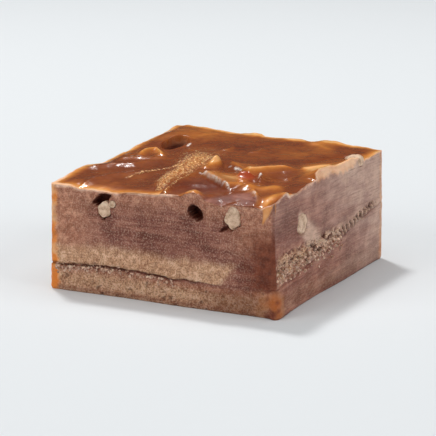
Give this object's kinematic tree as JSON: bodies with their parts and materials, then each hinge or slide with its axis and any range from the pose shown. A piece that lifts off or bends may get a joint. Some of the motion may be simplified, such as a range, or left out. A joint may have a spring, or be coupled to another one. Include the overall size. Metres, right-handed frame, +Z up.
{
  "type": "fudge cube",
  "caption": "Hand-cut square block of layered brown fudge with a pale band, chopped walnuts in its cut sides and a glossy folded top.",
  "frame": {"origin": "middle of the face that the piece rests on", "axes": "+X along the front cut face to the right, +Y towards the back, +Z up through the poured top"},
  "size_m": [0.06, 0.0628, 0.0294],
  "materials": {
    "upper_fudge": "brown fudge, waxy where cut, glossy amber skin on top",
    "pale_fudge": "pale sugary fudge, crumbly where cut",
    "base_fudge": "brown fudge with pale streaks, crumbly where cut",
    "walnut": "cut walnut, cream and matt"
  },
  "bodies": {
    "root": {"upper_layer": "upper_fudge", "pale_band": "pale_fudge", "base_layer": "base_fudge", "nut_left": "walnut", "nut_left_chip": "walnut", "nut_front": "walnut", "nut_right": "walnut", "nut_rim": "walnut", "nut_back": "walnut", "nut_side": "walnut"}
  },
  "joints": []
}
